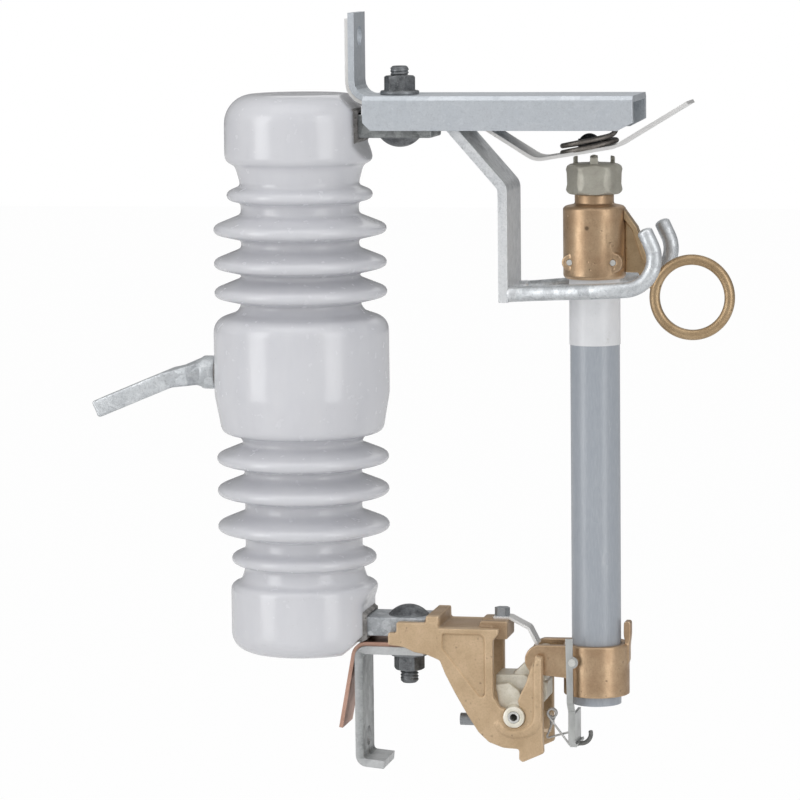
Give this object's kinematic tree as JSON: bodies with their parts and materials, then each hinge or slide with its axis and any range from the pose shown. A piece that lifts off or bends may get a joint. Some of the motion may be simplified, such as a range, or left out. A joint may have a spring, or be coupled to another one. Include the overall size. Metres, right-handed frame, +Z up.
{
  "type": "drop-out fuse cutout",
  "caption": "Porcelain pole-mount fuse cutout: insulator with side strap, sprung top contact, arc hooks, and a hinged drop-out fuse tube with pull ring.",
  "frame": {"origin": "on the mounting strap's flat underside, at the centre of its bolt hole", "axes": "+Z up along the porcelain's axis, +X from the insulator towards the fuse holder, Y across, with the part symmetrical about y = 0 apart from its nuts and its link ejector"},
  "size_m": [0.3351, 0.091, 0.3915],
  "materials": {
    "porcelain": "light grey gloss glaze",
    "grout": "dark grey cement",
    "galvanised": "hot-dip galvanised, dull spangle",
    "channel_steel": "galvanised, smooth and slightly blue",
    "tinned_copper": "tinned, satin",
    "spring_steel": "stainless wire, darkened",
    "black_steel": "black",
    "bolt_steel": "galvanised, dark",
    "bronze": "cast bronze, fettled",
    "tinned_bronze": "dull tin plate on a casting",
    "copper": "bare copper, slightly tarnished",
    "tube_grey": "grey varnish",
    "sleeve_pale": "pale blank band",
    "stainless": "rolled stainless"
  },
  "bodies": {
    "root": {"insulator": "porcelain", "bracket_grout": "grout", "mounting_bracket": "galvanised", "upper_grout": "grout", "upper_insert": "galvanised", "lower_grout": "grout", "lower_insert": "galvanised", "hook_plate": "galvanised", "hook_front": "galvanised", "hook_back": "galvanised", "upper_contact": "tinned_copper", "top_channel": "channel_steel", "contact_spring": "spring_steel", "spring_button": "black_steel", "upper_bolt": "bolt_steel", "upper_washer": "bolt_steel", "upper_nut": "bolt_steel", "hinge_casting": "bronze", "hinge_contact": "tinned_copper", "hinge_contact_screw": "bolt_steel", "copper_strap": "copper", "lower_terminal": "galvanised", "lower_bolt": "bolt_steel", "lower_washer": "bolt_steel", "lower_nut": "bolt_steel"},
    "trunnion": {"trunnion": "tinned_bronze", "pivot_bushes": "bolt_steel", "toggle_pin": "bolt_steel", "link_stud": "bolt_steel", "link_washer": "bronze", "link_nut": "bronze"},
    "holder": {"fuse_tube": "tube_grey", "tube_sleeve": "sleeve_pale", "lower_ferrule": "bronze", "ejector_pin": "bolt_steel", "upper_ferrule": "bronze", "ferrule_pins": "bolt_steel", "pull_ring": "bronze", "fuse_cap": "tinned_bronze"},
    "ejector": {"link_ejector": "stainless"}
  },
  "joints": [
    {"name": "holder_drop", "type": "hinge", "parent": "root", "child": "trunnion", "pos_m": [0.20255, 0, -0.1583], "axis": [0, 1, 0], "range_deg": [0, 165]},
    {"name": "toggle", "type": "hinge", "parent": "trunnion", "child": "holder", "pos_m": [0.21495, 0, -0.1296], "axis": [0, 1, 0], "range_deg": [0, 12]},
    {"name": "link_ejector", "type": "hinge", "parent": "holder", "child": "ejector", "pos_m": [0.23275, 0, -0.1293], "axis": [0, -1, 0], "range_deg": [0, 18]}
  ]
}
